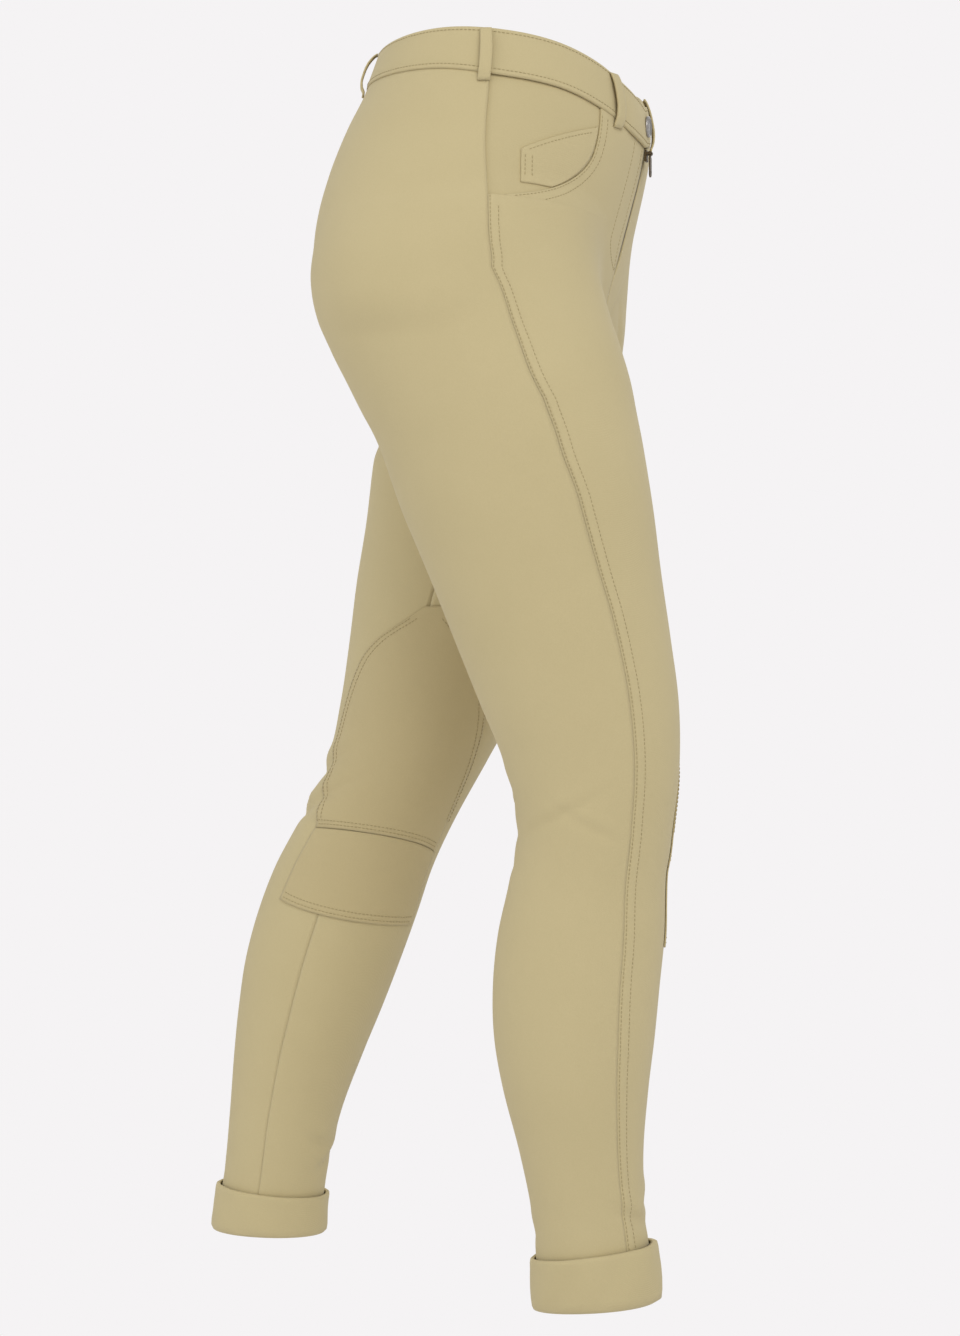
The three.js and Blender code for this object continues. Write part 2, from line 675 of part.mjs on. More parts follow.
const degreesPerMm = 180 / (Math.PI * hipRing(BUTTON.z).halfX);
const BAND_START = -BAND.tabEnd * degreesPerMm;
const BAND_END = 360 + BAND.underEnd * degreesPerMm;
const BAND_STEPS = 52;

function bandSection(degrees) {
  const over = 1 - ease((degrees - 12) / 16);
  const under = ease((degrees - 332) / 16);
  const shift = BAND.lap * (over - under);
  const outerFace = BAND.proud + shift;
  const innerFace = outerFace - BAND.wall;
  const top = waistTop(degrees);
  const bottom = waistSeam(degrees) + GAP;
  const bevel = 0.8;
  const corners = [
    [top, innerFace + bevel],
    [top, outerFace - bevel],
    [top - bevel, outerFace],
    [bottom, outerFace],
    [bottom, innerFace],
    [top - bevel, innerFace],
  ];
  return corners.map(([z, offset]) => bandPoint(degrees, z, offset));
}

const bandSections = [];
for (let k = 0; k <= BAND_STEPS; k += 1) {
  bandSections.push(bandSection(BAND_START + ((BAND_END - BAND_START) * k) / BAND_STEPS));
}

const frontY = (z) => leave(new THREE.Vector3(0, 0, z), new THREE.Vector3(0, -1, 0), 0, 260).y;
// The band's face runs straight from edge to edge, so it lies a little inside the rounded form.
const BAND_SAG = 1;
const bandY = frontY(BUTTON.z) + BAND_SAG;

function slotCutter() {
  const radius = BUTTONHOLE.width / 2;
  const outline = new THREE.Shape();
  outline.moveTo(BUTTONHOLE.from + radius, -radius);
  outline.lineTo(BUTTONHOLE.to - radius, -radius);
  outline.absarc(BUTTONHOLE.to - radius, 0, radius, -Math.PI / 2, Math.PI / 2, false);
  outline.lineTo(BUTTONHOLE.from + radius, radius);
  outline.absarc(BUTTONHOLE.from + radius, 0, radius, Math.PI / 2, (3 * Math.PI) / 2, false);
  const slot = new THREE.ExtrudeGeometry(outline, { depth: 6, bevelEnabled: false, curveSegments: 6 });
  slot.rotateX(Math.PI / 2);
  return slot.translate(0, bandY + 0.3, BUTTON.z);
}
const bandWithHole = toManifold(sweep(bandSections, false)).subtract(toManifold(slotCutter()));
add('waistband', toGeometry(bandWithHole), cotton);

// ---- Button, riveted to the under end and standing through the buttonhole ---------------------------
const tabFace = BAND.proud + BAND.lap;
const underFace = BAND.proud - BAND.lap;
const buttonProfile = [
  [0, underFace + GAP],
  [BUTTON.foot / 2, underFace + GAP],
  [BUTTON.shank, underFace + GAP + 0.3],
  [BUTTON.shank, tabFace + GAP],
  [BUTTON.head - 1, tabFace + GAP],
  [BUTTON.head, tabFace + GAP + 0.9],
  [BUTTON.head, tabFace + BUTTON.deep - 0.9],
  [BUTTON.head - 1.2, tabFace + BUTTON.deep],
  [BUTTON.head - 2.4, tabFace + BUTTON.deep - 0.7],
  [BUTTON.shank, tabFace + BUTTON.deep - 0.3],
  [0, tabFace + BUTTON.deep - 0.1],
].map(([radius, out]) => new THREE.Vector2(radius, out));
const button = new THREE.LatheGeometry(buttonProfile, 20);
button.rotateX(Math.PI);
add('button', button, metal).position.set(0, bandY, BUTTON.z);

// ---- Belt loops ----------------------------------------------------------------------------------------
const LOOP_BASE = BAND.proud + 1.5 * GAP + LOOP.wall;
for (const { name, side } of SIDES) {
  for (const loop of LOOPS) {
    const middle = side < 0 ? loop.angle : 360 - loop.angle;
    const top = waistTop(middle) - 0.5;
    const seam = waistSeam(middle);
    const bottom = seam - LOOP.below;
    const halfTurn = (LOOP.width / 2) * degreesPerMm;
    const sections = LOOP_PATH.map(({ down, bow }) => {
      const z = top + down * (bottom - top);
      const onPanel = ease((seam + 1 - z) / (LOOP.below - 0.5));
      const base = THREE.MathUtils.lerp(LOOP_BASE, GAP + LOOP.wall + 0.1, onPanel);
      const out = base + loop.bow * bow;
      return [
        bandPoint(middle - halfTurn, z, out - LOOP.wall),
        bandPoint(middle - halfTurn, z, out),
        bandPoint(middle + halfTurn, z, out),
        bandPoint(middle + halfTurn, z, out - LOOP.wall),
      ];
    });
    add(`belt_loop_${loop.name}_${name}`, sweep(sections, false), cotton);
  }
}

// ---- Zip: chain and tape in the fly, slider, and the pull tab that hangs from it ----------------------
function flyPoint(x, z, offset) {
  const point = leave(new THREE.Vector3(x, 0, z), new THREE.Vector3(0, -1, 0), 0, 260);
  return point.add(new THREE.Vector3(0, -offset, 0));
}

const zipSections = [];
for (const z of [waistSeam(0) - 0.6, -75, -95, -115, -130, -142, -150]) {
  const open = ease((z - FLY.end) / (FLY.straightTo - FLY.end));
  const low = FLY.flap * open + 1;
  const high = FLY.facing * open - 0.8;
  const face = -ZIP.sink;
  zipSections.push([
    flyPoint(low, z, face - ZIP.wall),
    flyPoint(low, z, face),
    flyPoint(high, z, face),
    flyPoint(high, z, face - ZIP.wall),
  ]);
}
add('zip_chain', sweep(zipSections, false), zipTape);

// Lathe and box geometry is drawn about the hinge pin, which lies along X.
const pinY = frontY(ZIP.top) - SLIDER.standOff;
const slider = (() => {
  const deckTop = -SLIDER.standOff + SLIDER.lift + SLIDER.deep;
  const deck = new THREE.BoxGeometry(SLIDER.width, SLIDER.deep, SLIDER.height);
  deck.translate(0, -(deckTop - SLIDER.deep / 2), 1.5 - SLIDER.height / 2 + 1);
  const pin = new THREE.CylinderGeometry(SLIDER.pin, SLIDER.pin, SLIDER.width - 0.6, 12);
  pin.rotateZ(Math.PI / 2);
  let body = toManifold(deck).add(toManifold(pin));
  for (const end of [-1, 1]) {
    const lug = new THREE.BoxGeometry(SLIDER.lug, 1.1 - deckTop + 0.2, 2.2);
    lug.translate(end * (SLIDER.width / 2 - SLIDER.lug / 2 - 0.1), -(deckTop - 0.2 + 1.1) / 2, 0);
    body = body.add(toManifold(lug));
  }
  return toGeometry(body);
})();
add('zip_slider', slider, metal).position.set(ZIP.x, pinY, ZIP.top);

const pull = (() => {
  const eyeWidth = SLIDER.width - 2 * SLIDER.lug - 0.9;
  const ring = new THREE.Shape();
  ring.absarc(0, 0, PULL.eye, 0, 2 * Math.PI, false);
  const hole = new THREE.Path();
  hole.absarc(0, 0, PULL.hole, 0, 2 * Math.PI, true);
  ring.holes.push(hole);
  const eye = new THREE.ExtrudeGeometry(ring, { depth: eyeWidth, bevelEnabled: false, curveSegments: 12 });
  eye.rotateY(Math.PI / 2);
  eye.translate(-eyeWidth / 2, 0, 0);
  const half = PULL.width / 2;
  const neck = eyeWidth / 2;
  const outline = new THREE.Shape();
  outline.moveTo(-neck, -PULL.hole - 0.3);
  outline.lineTo(-neck, -PULL.eye - 0.8);
  outline.lineTo(-half, -PULL.eye - 2);
  outline.lineTo(-half, -PULL.long + PULL.tip);
  outline.lineTo(-half + PULL.tip, -PULL.long);
  outline.lineTo(half - PULL.tip, -PULL.long);
  outline.lineTo(half, -PULL.long + PULL.tip);
  outline.lineTo(half, -PULL.eye - 2);
  outline.lineTo(neck, -PULL.eye - 0.8);
  outline.lineTo(neck, -PULL.hole - 0.3);
  outline.closePath();
  const slot = new THREE.Path();
  slot.absarc(0, -PULL.long + 4, 1.3, 0, 2 * Math.PI, true);
  outline.holes.push(slot);
  const plate = new THREE.ExtrudeGeometry(outline, { depth: PULL.wall, bevelEnabled: false, curveSegments: 8 });
  plate.rotateX(Math.PI / 2);
  plate.translate(0, PULL.wall / 2, 0);
  return toGeometry(toManifold(eye).add(toManifold(plate)));
})();
add('zip_pull', pull, metal).position.set(ZIP.x, pinY, ZIP.top);

export default jodhpurs;
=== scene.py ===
# %% [markdown]
# Riding jodhpurs, worn and walking, with nobody in them. The garment is a handful of fitted panels, so the
# whole model hangs on one idea: a smooth body form, and pieces of cloth that are cut out on it.

# %% Frame
import math
from collections import namedtuple

import bpy
import numpy as np
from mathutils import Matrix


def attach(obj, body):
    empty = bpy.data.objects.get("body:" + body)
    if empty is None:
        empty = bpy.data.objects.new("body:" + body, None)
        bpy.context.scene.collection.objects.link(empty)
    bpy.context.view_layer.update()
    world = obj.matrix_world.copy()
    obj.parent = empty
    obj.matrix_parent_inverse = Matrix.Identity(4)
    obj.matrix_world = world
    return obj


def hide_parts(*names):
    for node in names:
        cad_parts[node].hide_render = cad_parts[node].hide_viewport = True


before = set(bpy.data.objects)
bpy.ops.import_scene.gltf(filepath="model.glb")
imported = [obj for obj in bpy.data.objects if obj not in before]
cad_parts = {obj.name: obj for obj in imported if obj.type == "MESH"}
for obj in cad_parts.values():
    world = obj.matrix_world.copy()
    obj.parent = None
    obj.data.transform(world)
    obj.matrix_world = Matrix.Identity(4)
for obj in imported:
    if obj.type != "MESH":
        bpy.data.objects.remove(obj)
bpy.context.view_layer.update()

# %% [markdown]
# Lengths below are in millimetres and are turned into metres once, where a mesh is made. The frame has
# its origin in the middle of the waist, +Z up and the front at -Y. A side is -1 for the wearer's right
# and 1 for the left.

MM = 0.001
BODY = "garment"
SIDES = {"right": -1, "left": 1}
print("nodes", len(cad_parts))

# %% [markdown]
# The form under the cloth. Hips are a ring that changes with height, each leg is a tube, and the three are
# blended softly. A table of a few named sections is easier to fit and to read than a sculpt.

# %% Sections of hips and legs
# height: how far the front, the back and each side reach, and how square the ring is
HIPS = {
    60: (88, 84, 128, 2.0), 20: (98, 98, 132, 2.05), 0: (105, 105, 135, 2.1),
    -20: (110, 114, 139, 2.1), -40: (113, 124, 144, 2.15), -60: (112, 132, 149, 2.2),
    -80: (108, 139, 155, 2.2), -110: (100, 146, 162, 2.25), -140: (92, 148, 170, 2.3),
    -170: (85, 145, 175, 2.3), -200: (76, 131, 174, 2.3), -225: (60, 103, 150, 2.3),
    -245: (36, 62, 105, 2.2), -262: (8, 20, 60, 2.0),
}
# height: how far forward the front and the back are, and how far out the inner and the outer sides are
LEGS = {"right": {
    -120: (84, -105, 12, 158), -160: (93, -126, 8, 170), -200: (104, -126, 7, 177),
    -225: (112, -116, 7, 178), -250: (120, -103, 8, 177), -275: (125, -90, 10, 175),
    -300: (130, -77, 12, 173), -350: (138, -59, 14, 169), -400: (144, -38, 16, 163),
    -450: (151, -18, 18, 157), -500: (157, 2, 20, 150), -550: (157, 22, 23, 142),
    -600: (151, 31, 25, 137), -640: (146, 24, 26, 134), -680: (145, 15, 26, 134),
    -720: (141, 11, 25, 135), -760: (137, 12, 25, 135), -800: (132, 19, 27, 132),
    -850: (128, 32, 33, 124), -900: (130, 42, 38, 118), -940: (135, 45, 40, 116),
    -980: (138, 46, 41, 115),
}, "left": {
    -120: (72, -118, 12, 158), -160: (74, -130, 8, 170), -200: (74, -132, 7, 177),
    -225: (71, -130, 7, 178), -250: (66, -129, 8, 177), -275: (60, -133, 10, 175),
    -300: (54, -138, 12, 173), -350: (38, -144, 14, 169), -400: (22, -152, 16, 163),
    -450: (6, -158, 18, 157), -500: (-13, -165, 20, 150), -550: (-40, -176, 23, 142),
    -600: (-68, -200, 25, 137), -640: (-87, -222, 26, 134), -680: (-101, -238, 26, 134),
    -720: (-116, -249, 25, 135), -760: (-132, -255, 25, 135), -800: (-149, -259, 27, 132),
    -850: (-168, -263, 33, 124), -900: (-180, -268, 38, 118), -940: (-185, -275, 40, 116),
    -980: (-188, -280, 41, 115),
}}
LEG_SQUARE = 2.1
BLEND = 22                        # how far from a join the hips and legs begin to melt together
HIPS_FADE, LEGS_FADE = -262, -120  # below the one the hips shrink, and above the other the legs do

# %% [markdown]
# Lines of the cut. Place goes round the outer side of each half, from 0 at the middle of the front to 1 at
# the middle of the back, and just under 0 it is on the inner side of a leg. Degrees go round the waist from
# the front, and the wearer's right comes first.

# %% Waist, side seam, knee patches and cuffs
# degrees: top edge, height of the band
WAIST = {
    0: (-25, 31), 15: (-15, 36), 30: (-2, 38), 50: (10, 37),
    75: (17, 36), 100: (20, 32), 140: (18, 28), 180: (18, 27),
}
# height: place
SIDE_SEAM = {
    -20: 0.435, -60: 0.42, -110: 0.377, -150: 0.35, -168: 0.339, -176: 0.347, -186: 0.359,
    -215: 0.4, -255: 0.438, -305: 0.452, -350: 0.43, -425: 0.39, -600: 0.392, -720: 0.384,
    -850: 0.368, -980: 0.365,
}
# height: places of the back and the front edge
PATCH = {
    -422: (-0.006, 0.018), -435: (-0.04, 0.045), -450: (-0.085, 0.072), -468: (-0.118, 0.1),
    -500: (-0.143, 0.14), -540: (-0.15, 0.18), -575: (-0.128, 0.205), -606: (-0.096, 0.222),
    -640: (-0.096, 0.23), -680: (-0.102, 0.24),
}
# rise and rim tilt the bottom and the top edge, and bulge is how much fuller the front is
CUFF = {
    "right": {"bottom": -967, "top": -925, "rise": 0.1, "rim": 0.16, "bulge": 2.5},
    "left": {"bottom": -953, "top": -917, "rise": -0.03, "rim": -0.1, "bulge": 0},
}
HIP_TOP, HIP_END = -20, -170       # the rows that are read round the hips as one ring
CUFF_TILT_FROM = -840
FLY_OPEN, FLY_END = -130, -168
FLY_LAP = {"right": -5, "left": 11}   # the fly's edge, from the middle towards that side
FAR = 260                          # a distance that is surely outside the form


def side_name(side):
    return "right" if side < 0 else "left"


def read(rows, at):
    """A smooth curve through a table's rows: one array per column."""
    keys = np.array(sorted(rows), float)
    values = np.array([np.atleast_1d(rows[k]) for k in sorted(rows)], float)
    slope = np.empty_like(values)
    slope[1:-1] = (values[2:] - values[:-2]) / (keys[2:] - keys[:-2])[:, None]
    slope[0] = (values[1] - values[0]) / (keys[1] - keys[0])
    slope[-1] = (values[-1] - values[-2]) / (keys[-1] - keys[-2])
    at = np.clip(np.asarray(at, float), keys[0], keys[-1])
    i = np.clip(np.searchsorted(keys, at, side="right") - 1, 0, len(keys) - 2)
    span = (keys[i + 1] - keys[i])[..., None]
    s = (at - keys[i])[..., None] / span
    start = (1 + 2 * s) * (1 - s) ** 2 * values[i] + s * (1 - s) ** 2 * span * slope[i]
    end = s * s * (3 - 2 * s) * values[i + 1] + s * s * (s - 1) * span * slope[i + 1]
    return np.moveaxis(start + end, -1, 0)


def ease(t):
    t = np.clip(t, 0, 1)
    return t * t * (3 - 2 * t)


# %% [markdown]
# The form is a distance that is below zero inside, so the cloth's surface is where it is zero. Three simple
# distances, joined by a soft minimum, make the hips flow into the thighs with no seam.

# %% The form itself
def hip_ring(z):
    """Centre, half widths and squareness of the hips at a height."""
    front, back, half, square = read(HIPS, z)
    return 0 * z, (back - front) / 2, half, (front + back) / 2, square


def leg_ring(side, z):
    """The same for one leg."""
    front, back, inner, outer = read(LEGS[side_name(side)], z)
    centre_x, centre_y = side * (inner + outer) / 2, -(front + back) / 2
    return centre_x, centre_y, (outer - inner) / 2, (front - back) / 2, LEG_SQUARE


def outside(ring, x, y):
    """How far outside a ring a point is, below zero inside."""
    cx, cy, half_x, half_y, square = ring
    across, along = np.abs(x - cx) / half_x, np.abs(y - cy) / half_y
    scale = np.maximum((across ** square + along ** square) ** (1 / square), 1e-6)
    reach = np.hypot(x - cx, y - cy)
    return reach - reach / scale


def soften(a, b):
    """The lesser of two distances, rounded off where they are nearly the same."""
    near = np.maximum(BLEND - np.abs(a - b), 0) / BLEND
    return np.minimum(a, b) - near * near * BLEND / 4


def form(p):
    x, y, z = p[..., 0], p[..., 1], p[..., 2]
    hips = outside(hip_ring(z), x, y) + 2 * np.maximum(HIPS_FADE - z, 0)
    above = np.maximum(z - LEGS_FADE, 0)
    right = outside(leg_ring(-1, z), x, y) + above
    left = outside(leg_ring(1, z), x, y) + above
    return soften(soften(right, left), hips)


def leave(start, way, near, far):
    """Where a line from inside the form leaves it."""
    near = np.broadcast_to(np.asarray(near, float), start.shape[:-1]).copy()
    far = np.broadcast_to(np.asarray(far, float), start.shape[:-1]).copy()
    for _ in range(22):
        middle = (near + far) / 2
        inside = form(start + middle[..., None] * way) < 0
        near, far = np.where(inside, middle, near), np.where(inside, far, middle)
    return start + ((near + far) / 2)[..., None] * way


def outward(p):
    """The form's outward direction, from its slope either side of a point."""
    step = 2.0
    slopes = []
    for axis in range(3):
        shift = np.zeros(3)
        shift[axis] = step
        slopes.append(form(p + shift) - form(p - shift))
    normal = np.stack(slopes, -1)
    return normal / np.linalg.norm(normal, axis=-1, keepdims=True)


def find_fork():
    """The lowest place at which the legs are still one."""
    y = np.arange(-40, 50.1, 0.5)
    for z in np.arange(-300, -220, 0.5):
        p = np.stack([0 * y, y, 0 * y + z], -1)
        values = form(p)
        if (values < 0).any():
            return y[np.argmin(values)], z
    raise ValueError("the legs do not meet")


FORK_Y, FORK_Z = find_fork()
print("fork", FORK_Y, FORK_Z)


# %% [markdown]
# Every piece of cloth is laid out by place and height, so a seam that is straight in the cut stays smooth
# on the form. Round the hips a row follows the waist seam, below the fork it goes once round a leg, and
# between the two it swings from the one to the other.

# %% Places on the cloth
def unit(v):
    return v / np.linalg.norm(v, axis=-1, keepdims=True)


def way_out(side, turn, half_x, half_y):
    """A level direction, at a turn from the front."""
    return unit(np.stack([side * half_x * np.sin(turn), -half_y * np.cos(turn), 0 * turn], -1))


def hip_point(side, place, z):
    _, cy, half_x, half_y, _ = hip_ring(z)
    way = way_out(side, np.pi * place, half_x, half_y)
    return leave(np.stack([0 * cy, cy, z], -1), way, 0, FAR)


def leg_turn(side, place, z):
    """Near the fork a leg's rows begin at the fork, and further down at its inner side."""
    cx, cy, half_x, half_y, _ = leg_ring(side, z)
    near_fork = ease((z - FORK_Z + 150) / 150)
    to_fork = np.arctan2(-np.abs(cx) / half_x, -(FORK_Y - cy) / half_y)
    return to_fork * near_fork - np.pi / 2 * (1 - near_fork) + 2 * np.pi * place


def leg_point(side, place, z):
    cx, cy, half_x, half_y, _ = leg_ring(side, z)
    way = way_out(side, leg_turn(side, place, z), half_x, half_y)
    to_middle = -side * way[..., 0]
    far = np.where(to_middle > 0, np.minimum(np.abs(cx) / np.maximum(to_middle, 1e-6), FAR), FAR)
    return leave(np.stack([cx, cy, z], -1), way, 0, far)


def waist_top(degrees):
    return read(WAIST, np.abs((degrees + 180) % 360 - 180))[0]


def waist_seam(degrees):
    top, height = read(WAIST, np.abs((degrees + 180) % 360 - 180))
    return top - height


def cloth_point(side, place, height):
    """The point on the form at a place and a height of the cloth."""
    place, height = np.broadcast_arrays(np.asarray(place, float), np.asarray(height, float))
    p = np.zeros(place.shape + (3,))
    hips = height >= HIP_END
    share = (height[hips] - HIP_END) / (HIP_TOP - HIP_END)
    p[hips] = hip_point(side, place[hips], HIP_END + share * (waist_seam(180 * place[hips]) - HIP_END))
    fork = (height < HIP_END) & (height > FORK_Z)
    share = ((HIP_END - height[fork]) / (HIP_END - FORK_Z))[:, None]
    start = hip_point(side, place[fork], 0 * height[fork] + HIP_END)
    end = leg_point(side, place[fork], 0 * height[fork] + FORK_Z)
    chord = start + (end - start) * share
    middle = np.stack([chord[:, 0] * 0.35, chord[:, 1] * 0.18 + 6, 0 * chord[:, 0] - 185], -1)
    p[fork] = leave(middle, chord - middle, 0.3, 2.2)
    leg = height <= FORK_Z
    cuff = CUFF[side_name(side)]
    slope = cuff["rise"] * ease((CUFF_TILT_FROM - height[leg]) / (CUFF_TILT_FROM - cuff["bottom"]))
    forward = leg_ring(side, height[leg])[3] * np.cos(leg_turn(side, place[leg], height[leg]))
    p[leg] = leg_point(side, place[leg], height[leg] + slope * forward)
    return p


def side_seam(height):
    return read(SIDE_SEAM, height)[0]


def front_edge(side, height):
    """The right front laps over the fly, and the left front stops short of the zip."""
    open_share = ease((np.asarray(height, float) - FLY_END) / (FLY_OPEN - FLY_END))
    half_width = hip_ring(np.maximum(height, float(FLY_END)))[2]
    return open_share * FLY_LAP[side_name(side)] / (np.pi * half_width)


# %% [markdown]
# Looks of the cloth. Cotton stretch twill is matte, with a fine slanted weave and a soft nap. Its colour is
# blended at random towards the cloth's colour in shade, so the blotches and flecks are partly random tone and
# partly painted shade. One small class turns sockets into numbers that can be added and multiplied, so a
# material reads like a sum.

# %% Shader helpers
class Value:
    """A socket that can be added to, multiplied and so on."""

    def __init__(self, shader, socket):
        self.shader, self.socket = shader, socket

    def math(self, operation, *others):
        terms = dict(enumerate([self, *others]))
        return self.shader.node("ShaderNodeMath", {"operation": operation}, terms)

    def __add__(self, other):
        return self.math("ADD", other)

    def __mul__(self, other):
        return self.math("MULTIPLY", other)

    def __sub__(self, other):
        return self.math("SUBTRACT", other)

    def __rsub__(self, other):
        return self.shader.node("ShaderNodeMath", {"operation": "SUBTRACT"}, {0: other, 1: self})

    __radd__ = __add__
    __rmul__ = __mul__


class Shader:
    """A principled material, with one method for any other node."""

    def __init__(self, name, **constants):
        self.material = bpy.data.materials.new(name)
        self.material.use_nodes = True
        self.tree = self.material.node_tree
        self.surface = self.tree.nodes["Principled BSDF"]
        for socket, value in constants.items():
            self.surface.inputs[socket.replace("_", " ")].default_value = value

    def node(self, kind, settings, sockets, out=0):
        made = self.tree.nodes.new(kind)
        for key, value in settings.items():
            setattr(made, key, value)
        for key, value in sockets.items():
            if isinstance(value, Value):
                self.tree.links.new(value.socket, made.inputs[key])
            else:
                made.inputs[key].default_value = value
        return Value(self, made.outputs[out])

    def put(self, socket, value):
        self.tree.links.new(value.socket, self.surface.inputs[socket])

    def noise(self, where, scale, detail=2.0):
        return self.node("ShaderNodeTexNoise", {}, {"Vector": where, "Scale": scale, "Detail": detail})

    def place(self):
        return self.node("ShaderNodeTexCoord", {}, {}, "Object")

    def mix(self, share, a, b):
        mixed = self.node("ShaderNodeMix", {"data_type": "RGBA"}, {0: share}, 2)
        node = mixed.socket.node
        for index, colour in ((6, a), (7, b)):
            if isinstance(colour, Value):
                self.tree.links.new(colour.socket, node.inputs[index])
            else:
                node.inputs[index].default_value = (*colour, 1)
        return mixed


def linear(*colour):
    """Red, green and blue from 0 to 255, as light."""
    return tuple(((c / 255 + 0.055) / 1.055) ** 2.4 for c in colour)


def cloth_material(name, base, painted_shade_colour, weave=1.0):
    """Broad blotches and flecks that blend the colour towards the cloth's colour in shade, which is partly
    random tone and partly painted shade, and slanted threads in the bump.
    """
    shader = Shader(name, Roughness=0.92, Sheen_Weight=0.12, Sheen_Roughness=0.6)
    shader.surface.inputs["Specular IOR Level"].default_value = 0.2
    where = shader.place()
    broad = shader.noise(where, 9.0, 3.0)
    fleck = shader.noise(where, 900.0, 2.0)
    # Blend share of random blotches and flecks. Its dark end is the cloth's colour in shade, so this is partly
    # random tone and partly painted shade.
    mottle_and_painted_shade = (broad - 0.5) * 0.5 + (fleck - 0.5) * 0.35 + 0.45
    shader.put("Base Color", shader.mix(mottle_and_painted_shade, base, painted_shade_colour))
    threads = shader.node("ShaderNodeTexWave", {"bands_direction": "DIAGONAL"},
                          {"Vector": where, "Scale": 420.0, "Distortion": 1.5, "Detail": 1.0})
    height = threads * 0.35 + fleck * 0.4 + shader.noise(where, 60.0, 4.0) * 0.8
    bump = shader.node("ShaderNodeBump", {},
                       {"Strength": 0.16 * weave, "Distance": 0.0006, "Height": height})
    shader.put("Normal", bump)
    return shader.material


# The second colour of each cloth is its colour in shade. It is painted in as random blotches and flecks of
# shade.
COTTON = cloth_material("cotton_twill", linear(204, 189, 146), linear(186, 171, 128))
PATCH_COTTON = cloth_material("patch_cotton", linear(200, 184, 141), linear(182, 166, 123))
THREAD = cloth_material("thread", linear(184, 168, 124), linear(148, 132, 94), 0.6)
FACING_COTTON = cloth_material("facing_cotton", linear(202, 187, 144), linear(184, 169, 126))


def metal_material(name, colour, roughness):
    """Metal that is duller and darker in patches."""
    shader = Shader(name, Metallic=1.0)
    where = shader.place()
    wear = shader.noise(where, 700.0, 3.0)
    shader.put("Base Color", shader.mix(wear, colour, tuple(c * 0.7 for c in colour)))
    shader.put("Roughness", wear * 0.2 + roughness)
    return shader.material


BUTTON_METAL = metal_material("button_metal", linear(176, 172, 168), 0.28)
ZIP_METAL = metal_material("zip_metal", linear(112, 98, 78), 0.35)


# %% [markdown]
# Panels. A real panel is cut flat and sewn, and here it is a net of points on the form with a wall behind.
# Seams are raised a little where the allowance lies under them, and creases are soft troughs whose depth
# and length differ from one to the next.

# %% Net of points to a mesh with a wall
def add_piece(name, vertices, faces, material, along=None):
    """Vertices are in millimetres. along is one face's number and the way that it should look."""
    mesh = bpy.data.meshes.new(name)
    mesh.from_pydata([tuple(corner) for corner in np.asarray(vertices) * MM], [], faces)
    if along is not None:
        mesh.update()
        number, way = along
        if np.array(mesh.polygons[number].normal) @ way < 0:
            mesh.flip_normals()
    mesh.polygons.foreach_set("use_smooth", [True] * len(mesh.polygons))
    mesh.materials.append(material)
    piece = bpy.data.objects.new(name, mesh)
    bpy.context.collection.objects.link(piece)
    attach(piece, BODY)
    return piece


def corners(grid):
    """The four corners of every cell of a grid."""
    return grid[:-1, :-1], grid[:-1, 1:], grid[1:, 1:], grid[1:, :-1]


def declare_cut(points):
    """Works out the area of each cell of a grid, and keeps nothing of it."""
    p, q, r, s = corners(points)
    halves = np.linalg.norm(np.cross(q - p, r - p), axis=-1) + np.linalg.norm(np.cross(r - p, s - p), axis=-1)


def wall_mesh(node, points, normals, wall, material=None, closed=False):
    """A closed wall of cloth behind a grid of points, in the place of a node of the frame."""
    rows, columns = points.shape[:2]
    count = rows * columns
    ids = np.arange(count).reshape(rows, columns)
    if closed:
        ids = np.concatenate([ids, ids[:, :1]], 1)
        points = np.concatenate([points, points[:, :1]], 1)
    a, b, c, d = corners(ids)
    faces = np.stack([a, d, c, b], -1).reshape(-1, 4)
    border = [ids[0], ids[-1][::-1]]
    if not closed:
        border += [ids[:, 0][::-1], ids[:, -1]]
    rim = [(p, q, q + count, p + count) for line in border for p, q in zip(line[:-1], line[1:])]
    faces_all = np.concatenate([faces, faces[:, ::-1] + count, np.array(rim)]).tolist()
    outer, ways = points[:, :columns].reshape(-1, 3), normals.reshape(-1, 3)
    middle = len(faces) // 2
    piece = add_piece(f"{node}_cloth", np.concatenate([outer, outer - ways * wall]), faces_all,
                      material or COTTON,
                      (middle, ways[faces[middle][0]]))
    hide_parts(node)
    declare_cut(points)


def stack(rows):
    """Rows of (points, normals) as one grid of each."""
    return [np.array(part) for part in zip(*rows)]


# %% [markdown]
# Creases gather behind the knees, at the fork and above the cuffs. Each is a soft trough with a low ridge
# under it, and the rows differ in length, width, depth and lean so that no two look alike.

